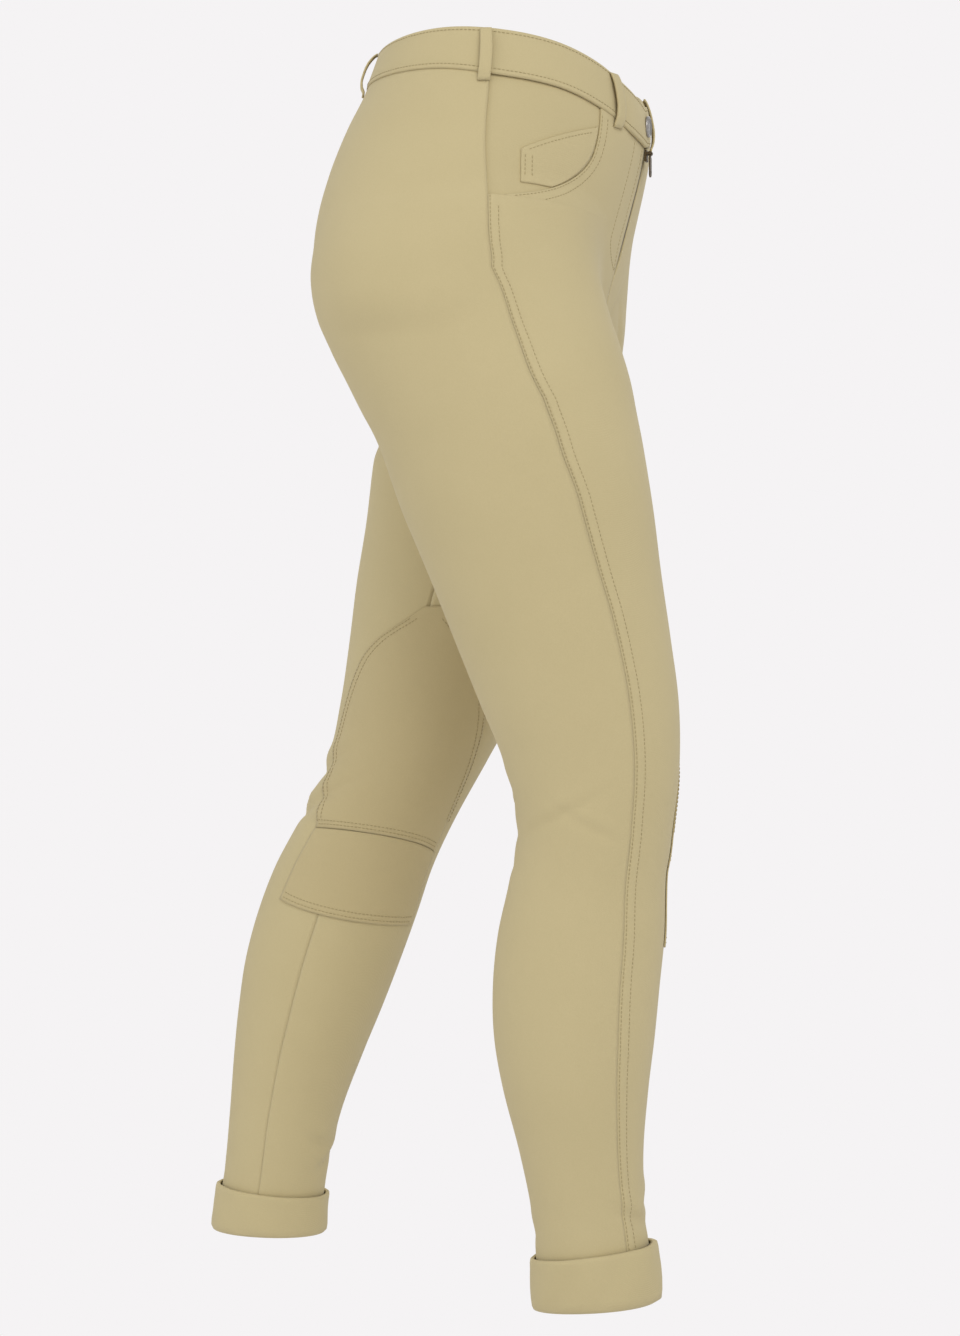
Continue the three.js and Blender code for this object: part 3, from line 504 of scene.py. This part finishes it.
# %% Creases and raised seams
Crease = namedtuple("Crease", "side place height length width depth lean")
CREASES = [
    # back of the right knee
    Crease(-1, 0.80, -556, 0.15, 7, -1.9, 20),
    Crease(-1, 0.86, -568, 0.10, 5, -1.5, -12),
    Crease(-1, 0.84, -584, 0.17, 6, -2.3, 26),
    Crease(-1, 0.78, -596, 0.12, 5, -1.4, -30),
    Crease(-1, 0.88, -606, 0.13, 5, -1.8, 14),
    Crease(-1, 0.74, -618, 0.08, 6, -0.9, 22),
    # side and front of the right knee
    Crease(-1, 0.55, -588, 0.15, 5, -0.7, -26),
    Crease(-1, 0.47, -596, 0.10, 4, -0.6, 18),
    Crease(-1, 0.15, -640, 0.12, 9, -0.8, 10),
    # back and side of the left knee
    Crease(1, 0.80, -560, 0.14, 7, -1.8, 16),
    Crease(1, 0.72, -572, 0.10, 5, -1.4, -20),
    Crease(1, 0.83, -590, 0.15, 6, -2.2, 24),
    Crease(1, 0.90, -604, 0.10, 5, -1.3, -10),
    Crease(1, 0.68, -612, 0.09, 7, -1.0, 16),
    Crease(1, 0.50, -584, 0.10, 5, -0.7, 20),
    # from the fork, up across the fronts
    Crease(-1, 0.08, -232, 0.10, 7, -1.3, -36),
    Crease(-1, 0.12, -214, 0.08, 6, -1.0, -40),
    Crease(1, 0.09, -226, 0.11, 7, -1.4, -30),
    Crease(1, 0.15, -206, 0.07, 6, -0.8, -34),
    Crease(-1, 0.03, -196, 0.06, 5, -0.9, 26),
    Crease(1, 0.04, -190, 0.05, 5, -0.8, 28),
    # under the seat
    Crease(-1, 0.86, -262, 0.12, 9, -1.4, 30),
    Crease(1, 0.84, -268, 0.13, 9, -1.6, 26),
    Crease(1, 0.76, -282, 0.08, 8, -0.8, 18),
    # ankles
    Crease(-1, 0.30, -900, 0.14, 6, -1.3, 12),
    Crease(-1, 0.20, -886, 0.10, 6, -1.0, -16),
    Crease(1, 0.25, -892, 0.12, 6, -1.4, 14),
    Crease(1, 0.18, -876, 0.10, 5, -1.0, -10),
    Crease(-1, 0.75, -905, 0.10, 6, -0.9, 12),
    Crease(1, 0.70, -896, 0.11, 6, -0.9, -12),
]
CREASE_DEPTH = 1.8                 # times every depth
LIP, LIP_BELOW, LIP_WIDTH = 0.55, 1.9, 1.2


def ridge(distance, width):
    return np.exp(-(distance / width) ** 2)


def creases(side, place, height):
    relief = np.zeros(np.broadcast(place, height).shape)
    for crease in CREASES:
        if crease.side != side:
            continue
        along = (place - crease.place) / crease.length
        line = (height - (crease.height + crease.lean * along + 5 * along ** 2)) / crease.width
        trough = ridge(line, 1) - LIP * ridge(line - LIP_BELOW, LIP_WIDTH)
        relief += CREASE_DEPTH * crease.depth * ridge(along * 1.7, 1) * trough
    return relief


def girth(height):
    """About how many millimetres a place of 1 is round the cloth."""
    return np.interp(-np.asarray(height, float), (20, 170, 272, 400, 600, 700, 900, 980),
                     (420, 480, 590, 500, 360, 375, 270, 270))


def panel_relief(side, place, height):
    """Creases, and the ridge where the side seam's allowance lies under the cloth."""
    distance = (place - side_seam(height)) * girth(height)
    seam = 0.9 * np.clip(1.25 - np.abs(distance + 4) / 5, 0, 1) * (distance < 1)
    return creases(side, place, height) + seam - 0.2 * ridge(distance, 1.2)


def cloth_net(side, place, height, lift, relief=True):
    """Points on the form, lifted off it, and which way is out."""
    place, height = np.broadcast_arrays(place, height)
    points = cloth_point(side, place, height)
    normals = outward(points)
    lift = lift + (panel_relief(side, place % 1.0, height) if relief else 0)
    return points + normals * np.broadcast_to(lift, place.shape)[..., None], normals


def between(heights, start, end, columns):
    """Places from one edge of a piece to the other, on rows at these heights."""
    first, last = start(heights)[:, None], end(heights)[:, None]
    return first + (last - first) * np.linspace(0, 1, columns)[None], heights[:, None]


# %% [markdown]
# The pocket is a scoop in the front panel. Its edge is a quarter of an ellipse, in degrees and height, and
# a row of the panel ends where the ellipse crosses it. The crossing moves as the row does, so it is found
# in a few rounds.

# %% The pocket's edge
SCOOP = {"angle": 33, "middle": 66, "z": -72, "drop": 42}
MM_A_DEGREE = 2.4


def row_z(degrees, height):
    return HIP_END + (height - HIP_END) / (HIP_TOP - HIP_END) * (waist_seam(degrees) - HIP_END)


def scoop_edge(height, grow=0.0):
    """Place of the pocket's opening on a row, and of the side seam below it."""
    height = np.asarray(height, float)
    angle, drop = SCOOP["angle"] - grow / MM_A_DEGREE, SCOOP["drop"] + grow
    degrees = np.full(height.shape, angle)
    for _ in range(10):
        share = np.clip((SCOOP["z"] - row_z(degrees, height)) / drop, 0, 1)
        degrees = SCOOP["middle"] - (SCOOP["middle"] - angle) * np.sqrt(1 - share * share)
    return np.where(share >= 1, side_seam(height), np.minimum(degrees / 180, side_seam(height)))


# %% [markdown]
# Front and back panels, from the waist to just inside the cuff. Rows are closer together at the bottom of
# the pocket, where the edge runs nearly along them.

# %% Panels
PANEL_WALL, THIN_WALL = 1.4, 1.1
PANEL_TOP = -19.6
SEAM = 0.0002                      # half the gap between two panels, as a place


def panel_rows(name, step=3.2):
    cuff = CUFF[name]
    bottom = cuff["bottom"] + 0.1 * (cuff["top"] - cuff["bottom"])
    return np.linspace(PANEL_TOP, bottom, int((PANEL_TOP - bottom) / step))


for name, side in SIDES.items():
    rows = np.unique(np.concatenate([panel_rows(name), np.linspace(-95, -116, 40)]))[::-1]
    grid = between(rows, lambda h: front_edge(side, h) + SEAM, lambda h: scoop_edge(h) - SEAM, 64)
    wall_mesh(f"front_{name}", *cloth_net(side, *grid, 0), PANEL_WALL)
    grid = between(panel_rows(name), lambda h: side_seam(h) + SEAM, lambda h: 0 * h + 1 - SEAM, 84)
    wall_mesh(f"back_{name}", *cloth_net(side, *grid, 0), PANEL_WALL)

# %% [markdown]
# Behind each scoop is a facing, which runs on a little under both panels. The coin pocket lies on the right
# one, and its top edge slopes up towards the front.

# %% Pocket facings and coin pocket
COIN_TOP, COIN_BOTTOM, COIN_SLOPE = -39, -101, 36
FACING_IN, COIN_IN = -1.6, -0.45   # how far each is lifted off the form, and below zero is behind it


def facing_start(height):
    return np.minimum(scoop_edge(height, 8), side_seam(height) - 0.05)


def coin_start(height):
    return scoop_edge(height) + 0.004


def coin_end(height):
    reach = np.clip((COIN_TOP - height) / COIN_SLOPE, 0.02, 1)
    back = 0.338 - 0.0007 * np.maximum(-75 - height, 0)
    return coin_start(height) + (back - coin_start(height)) * reach


for name, side in SIDES.items():
    grid = between(np.linspace(PANEL_TOP, -122, 46), facing_start, lambda h: side_seam(h) + 0.008, 36)
    wall_mesh(f"pocket_facing_{name}", *cloth_net(side, *grid, FACING_IN, False), THIN_WALL, FACING_COTTON)

grid = between(np.linspace(COIN_TOP, COIN_BOTTOM, 40), coin_start, coin_end, 26)
wall_mesh("coin_pocket", *cloth_net(SIDES["right"], *grid, COIN_IN, False), 1.0)

# %% [markdown]
# Knee patches, two pieces on the inner side of each leg. Both the seam between them and the hem dip towards
# the front, so a row's height depends on how far along it a point is.

# %% Knee patches
PATCH_LIFT, PATCH_DIP = 1.5, 21


def cross_bow(level, share):
    return PATCH_DIP * ease((-520 - level) / 86) * share ** 2


def hem_bow(level, share):
    low = ease((-610 - level) / 50)
    return PATCH_DIP * share ** 2 * (1 - low) + (PATCH_DIP + 1) * (1 - (1 - share) ** 2) * low


def patch_net(side, levels, bow, share, lift):
    """A net whose rows bow down towards the front; bow gives the drop at each level."""
    back, front = read(PATCH, levels)
    return cloth_net(side, back + (front - back) * share, levels - bow(levels, share), lift)


for name, side in SIDES.items():
    for part, levels, bow in (("upper", np.linspace(-422, -606, 84), cross_bow),
                              ("lower", np.linspace(-606.6, -667, 34), hem_bow)):
        net = patch_net(side, levels[:, None], bow, np.linspace(0, 1, 44)[None], PATCH_LIFT)
        wall_mesh(f"knee_patch_{part}_{name}", *net, THIN_WALL, PATCH_COTTON)

# %% [markdown]
# Cuffs are the end of the leg turned up: a section that goes down the outside, round the fold and a little
# way up the inside, swept round the leg. Two slow waves keep the turn-up from looking moulded.

# %% Cuffs, turned up
CUFF_SECTION = [                   # how far up, how far out
    (0.99, 2.4), (1.01, 3.4), (1, 4.3), (0.93, 4.7), (0.8, 4.6), (0.6, 4.9), (0.4, 5.1), (0.2, 5.0),
    (0.07, 4.4), (0.01, 3.0), (0, 0.8), (0.02, -1.0)]
OUTER_FACE = 3                     # further out than this is the outside of the turn-up


def level_out(points):
    """Outward, but level."""
    normal = outward(points)
    normal[..., 2] = 0
    return unit(normal)


def cuff_row(side, cuff, up, out):
    place = np.linspace(0, 1, 120, endpoint=False)
    level = cuff["bottom"] + up * (cuff["top"] - cuff["bottom"]) + 0 * place
    turn = leg_turn(side, place, level)
    forward = leg_ring(side, level)[3] * np.cos(turn)
    points = leg_point(side, place, level + (cuff["rise"] + up * (cuff["rim"] - cuff["rise"])) * forward)
    normal = level_out(points)
    bulge = cuff["bulge"] * np.maximum(np.cos(turn), 0) ** 2 * (out > OUTER_FACE)
    wave = 0.5 * np.sin(turn * 3 + side + 2 * up) + 0.45 * np.sin(turn * 8 + up * 5) * (out > OUTER_FACE)
    return points + normal * (out + bulge + wave)[:, None], normal


for name, side in SIDES.items():
    rows = [cuff_row(side, CUFF[name], up, out) for up, out in CUFF_SECTION]
    wall_mesh(f"cuff_{name}", *stack(rows), 1.3, closed=True)


# %% [markdown]
# The waistband goes once round and on past its own start: the right end carries the button and lies over
# the left one. So it is lifted off the form all round but for the end that is underneath.

# %% Waistband
def band_point(degrees, z, offset):
    degrees, z, offset = np.broadcast_arrays(np.asarray(degrees, float), z, offset)
    _, cy, half_x, half_y, _ = hip_ring(z)
    way = way_out(-1, np.radians(degrees), half_x, half_y)
    points = leave(np.stack([0 * cy, cy, z], -1), way, 0, FAR)
    normal = level_out(points)
    return points + normal * offset[..., None], normal


BUTTON_Z = -40
DEGREES_A_MM = 180 / (math.pi * float(hip_ring(np.array(float(BUTTON_Z)))[2]))
BAND_SECTION = [(0, 0.3), (0.02, 0.9), (0.07, 1.2), (0.3, 1.35), (0.6, 1.35), (0.93, 1.2), (0.99, 0.7)]
TAB_END, UNDER_END = 15, 24        # how far past the middle of the front each end goes
band_turn = np.linspace(-TAB_END * DEGREES_A_MM, 360 + UNDER_END * DEGREES_A_MM, 320)
band_shift = 1.7 * (1 - ease((band_turn - 12) / 16) - ease((band_turn - 332) / 16))


def band_row(down, out, tuck=0.0):
    """One line round the band; tuck takes its lower edge past the seam."""
    top, seam = waist_top(band_turn), waist_seam(band_turn)
    return band_point(band_turn, top + (seam - tuck - top) * down, out + band_shift)


wall_mesh("waistband", *stack([band_row(down, out, 0.7) for down, out in BAND_SECTION]), 2.4)

# %% [markdown]
# Belt loops are straps that are sewn down above and below the band and stand off it between. The back pair
# has slackened more than the rest.

# %% Belt loops
LOOP_PATH = [                      # how far down, share of the bow
    (0, 0), (0.05, 0.35), (0.12, 0.62), (0.22, 0.88), (0.34, 1), (0.48, 1), (0.6, 0.94), (0.7, 0.76),
    (0.8, 0.5), (0.87, 0.25), (0.92, 0.1), (1, 0)]
LOOP_ACROSS = np.array([-6, -5.6, -3, 0, 3, 5.6, 6])
LOOP_CROWN = np.array([-0.35, 0, 0.1, 0.15, 0.1, 0, -0.35])
LOOPS = {"front": (24, 2.6), "side": (80, 2.6), "back": (155, 5.6)}    # degrees, bow
LOOP_BELOW = 6.5
LOOP_ON_BAND, LOOP_ON_PANEL = 3.15, 1.9


def loop_row(degrees, bow, down, share):
    top, seam = waist_top(np.array(degrees)) - 0.5, waist_seam(np.array(degrees))
    z = top + down * (seam - LOOP_BELOW - top)
    on_panel = ease((seam + 1 - z) / 6)
    out = LOOP_ON_BAND * (1 - on_panel) + LOOP_ON_PANEL * on_panel + bow * share
    across = degrees + LOOP_ACROSS * DEGREES_A_MM
    return band_point(across, 0 * across + z, out + LOOP_CROWN)


for name, side in SIDES.items():
    for which, (degrees, bow) in LOOPS.items():
        degrees = degrees if side < 0 else 360 - degrees
        rows = [loop_row(degrees, bow, down, share) for down, share in LOOP_PATH]
        wall_mesh(f"belt_loop_{which}_{name}", *stack(rows), 1.3)


# %% [markdown]
# Stitches. Each one is a short thread, fattest in the middle, that stands a little out of the cloth. They
# are laid along lines on the form, and all those of a leg are one mesh, which is lighter than a piece for
# each stitch.

# %% Laying a row of stitches
STITCH_LONG, STITCH_THICK, STITCH_PITCH = 2.3, 0.42, 3.3
STITCH_SIDES = 4
STITCH_SHAPE = [(-0.5, 0.45), (0, 1.0), (0.5, 0.45)]       # how far along, how thick


def add_stitch(vertices, faces, at, run, points, normals):
    def on_line(where, values):
        return np.array([np.interp(where, run, values[:, axis]) for axis in range(3)])

    centres = [on_line(at + share * STITCH_LONG, points) for share, _ in STITCH_SHAPE]
    up = on_line(at, normals)
    across = np.cross(centres[-1] - centres[0], up)
    across /= np.linalg.norm(across)
    base, n = len(vertices), STITCH_SIDES
    for centre, (_, size) in zip(centres, STITCH_SHAPE):
        for k in range(n):
            angle = 2 * math.pi * (k + 0.5) / n
            offset = across * math.cos(angle) + up * math.sin(angle)
            vertices.append(centre + offset * STITCH_THICK * size)
    for ring in (base, base + n):
        for k in range(n):
            b = (k + 1) % n
            faces.append((ring + k, ring + b, ring + n + b, ring + n + k))
    faces.append(tuple(range(base + n - 1, base - 1, -1)))
    faces.append(tuple(range(base + 2 * n, base + 3 * n)))


def stitch_mesh(name, lines):
    vertices, faces = [], []
    for points, normals in lines:
        step = np.linalg.norm(np.diff(points, axis=0), axis=1)
        run = np.concatenate([[0], np.cumsum(step)])
        for at in np.arange(STITCH_PITCH / 2, run[-1] - STITCH_PITCH / 2, STITCH_PITCH):
            add_stitch(vertices, faces, at, run, points, normals)
    add_piece(name, vertices, faces, THREAD)
    print(name, "faces", len(faces))


# %% [markdown]
# Each leg has twin rows along the side seam, twin rows round the pocket and twin rows inside the edges of
# the knee patches.

# %% Stitches of the legs
ON_CLOTH = 0.05
ON_PATCH = PATCH_LIFT + 0.1


def seam_line(side, distance, top):
    height = np.linspace(top, -924, 260)
    return cloth_net(side, side_seam(height) + distance / girth(height), height, ON_CLOTH)


def pocket_line(side, grow):
    height = np.linspace(-26, -113.5, 120)
    place = scoop_edge(height, grow)
    keep = place < side_seam(height) - 0.004
    return cloth_net(side, place[keep], height[keep], ON_CLOTH)


def patch_side_line(side, edge, inset):
    height = np.linspace(-432, -602, 90)
    return cloth_net(side, read(PATCH, height)[edge] + inset, height, ON_PATCH)


for name, side in SIDES.items():
    lines = [seam_line(side, -1.6, -114), seam_line(side, -8.6, -122)]
    lines += [pocket_line(side, grow) for grow in (1.6, 8.5)]
    lines += [patch_side_line(side, edge, inset)
              for edge, inset in ((0, 0.004), (1, -0.004), (0, 0.016), (1, -0.016))]
    lines += [patch_net(side, float(level), bow, np.linspace(0.02, 0.98, 60), ON_PATCH)
              for level, bow in ((-603, cross_bow), (-600, cross_bow), (-664, hem_bow), (-660, hem_bow))]
    stitch_mesh(f"stitches_leg_{name}", lines)

# %% [markdown]
# The rest of the rows are round the band, down the fly and its curved end, and on the coin pocket.

# %% Stitches of the waist
RIGHT_SIDE = SIDES["right"]
ON_COIN = COIN_IN + 0.05
waist_lines = []
for down in (0.08, 0.9):
    points, normals = band_row(down, 1.35)
    waist_lines.append((points[:300], normals[:300]))
height = np.linspace(-24, -150, 90)
for inset in (9, 31):
    bend = np.clip((height + 118) / -32, 0, 1) ** 2 * (inset - 3)
    place = front_edge(RIGHT_SIDE, height) + (inset - bend) / (np.pi * 145)
    waist_lines.append(cloth_net(RIGHT_SIDE, place, height, ON_CLOTH))
height = np.linspace(-79, -97, 30)
for inset in (0.008, 0.022):
    waist_lines.append(cloth_net(RIGHT_SIDE, coin_end(height) - inset, height, ON_COIN))
height = np.linspace(-45, -76, 40)
waist_lines.append(cloth_net(RIGHT_SIDE, coin_end(height) - 0.012, height - 1, ON_COIN))
stitch_mesh("stitches_waist", waist_lines)

# %% [markdown]
# Hard parts. The button is turned, so it is a profile spun round its own axis. The zip's chain, slider and
# pull keep their solids and only get a better metal.

# %% Button and metals
BUTTON_PROFILE = [                 # radius, how far out
    (0, -0.2), (2.2, -0.2), (2, 0.2), (2, 3.1), (7.6, 3.2), (8.3, 3.7), (8.5, 4.5), (8.3, 5.5),
    (7.6, 6.05), (6.9, 6.0), (6.3, 5.4), (5, 5.2), (2.5, 5.45), (1.2, 5.6), (0, 5.6)]
AROUND = 48
front_y = float(band_point(0.0, float(BUTTON_Z), 0.0)[0][1]) + 1.0
vertices, faces = [], []
for radius, out in BUTTON_PROFILE:
    for k in range(AROUND):
        angle = 2 * math.pi * k / AROUND
        vertices.append((radius * math.cos(angle), front_y - out, BUTTON_Z + radius * math.sin(angle)))
for first in range(0, (len(BUTTON_PROFILE) - 1) * AROUND, AROUND):
    for k in range(AROUND):
        b = (k + 1) % AROUND
        faces.append((first + k, first + AROUND + k, first + AROUND + b, first + b))
button = add_piece("button_turned", vertices, faces, BUTTON_METAL)
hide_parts("button")

for node in ("zip_chain", "zip_slider", "zip_pull"):
    piece = bpy.data.objects[node]
    piece.data.materials.clear()
    piece.data.materials.append(ZIP_METAL)
print("button at", round(front_y, 1), "vertices", len(vertices))

# %% [markdown]
# The camera stands level, off the wearer's right side and a little to the front. Its long lens keeps the
# legs from tapering.

# %% Camera
AZIMUTH = math.radians(-75)
BACK = np.array([math.sin(AZIMUTH), -math.cos(AZIMUTH), 0])
ASIDE = np.array([math.cos(AZIMUTH), math.sin(AZIMUTH), 0])
DISTANCE, CAMERA_Z, SHIFT = 2.4, -0.473, -0.022
camera_data = bpy.data.cameras.new("camera")
camera_data.lens = 79.8
camera_data.sensor_width = 36
camera = bpy.data.objects.new("camera", camera_data)
camera.location = tuple(BACK * DISTANCE + ASIDE * SHIFT + np.array([0, 0, CAMERA_Z]))
camera.rotation_euler = (math.pi / 2, 0, AZIMUTH)
bpy.context.collection.objects.link(camera)
bpy.context.scene.camera = camera
print("camera at", [round(value, 3) for value in camera.location])

# %% [markdown]
# Light is one large soft key, two weak fills and an even sky, at a level at which a colour comes out about
# as it is written.

# %% Lamps
AIMED_AT = np.array([0, 0, -0.45])


def lamp(name, where, size, power):
    data = bpy.data.lights.new(name, "AREA")
    data.size, data.energy = size, power
    made = bpy.data.objects.new(name, data)
    made.location = where
    x, y, z = AIMED_AT - np.array(where)
    made.rotation_euler = (math.atan2(math.hypot(x, y), -z), 0, math.atan2(y, x) - math.pi / 2)
    bpy.context.collection.objects.link(made)


lamp("key", (-2.6, -1.9, 1.6), 2.4, 50)
lamp("fill", (-1.8, 2.6, 0.6), 2.2, 22)
lamp("far", (2.6, 0.4, 1.0), 2.4, 22)

# %% [markdown]
# The studio is paper. What the camera sees of it is an even pale grey, while the light that it gives back
# is that of a sky and of a plain floor.

# %% Sky and floor
PAPER = (*linear(245, 243, 244), 1)
FLOOR_Z, FLOOR_HALF = -1.06, 6


def seen_by_camera(tree, plain, shown, output):
    """The camera sees one shader, and everything else the other."""
    path, mixer = tree.nodes.new("ShaderNodeLightPath"), tree.nodes.new("ShaderNodeMixShader")
    tree.links.new(path.outputs["Is Camera Ray"], mixer.inputs[0])
    tree.links.new(plain.outputs[0], mixer.inputs[1])
    tree.links.new(shown.outputs[0], mixer.inputs[2])
    tree.links.new(mixer.outputs[0], tree.nodes[output].inputs[0])


world = bpy.data.worlds.new("studio")
bpy.context.scene.world = world
world.use_nodes = True
sky = world.node_tree.nodes["Background"]
sky.inputs["Color"].default_value = (1, 1, 1, 1)
sky.inputs["Strength"].default_value = 0.62
backdrop = world.node_tree.nodes.new("ShaderNodeBackground")
backdrop.inputs["Color"].default_value = PAPER
seen_by_camera(world.node_tree, sky, backdrop, "World Output")

paper = Shader("floor_paper", Roughness=1.0)
paper.surface.inputs["Base Color"].default_value = (0.8, 0.79, 0.8, 1)
glow = paper.tree.nodes.new("ShaderNodeEmission")
glow.inputs["Color"].default_value = PAPER
seen_by_camera(paper.tree, paper.surface, glow, "Material Output")

floor_mesh = bpy.data.meshes.new("floor")
corner_ways = ((-1, -1), (1, -1), (1, 1), (-1, 1))
floor_mesh.from_pydata([(x * FLOOR_HALF, y * FLOOR_HALF, FLOOR_Z) for x, y in corner_ways], [], [(0, 1, 2, 3)])
floor_mesh.materials.append(paper.material)
floor = bpy.data.objects.new("floor", floor_mesh)
bpy.context.collection.objects.link(floor)
bpy.context.scene.view_settings.view_transform = "Standard"
print("floor at", FLOOR_Z)
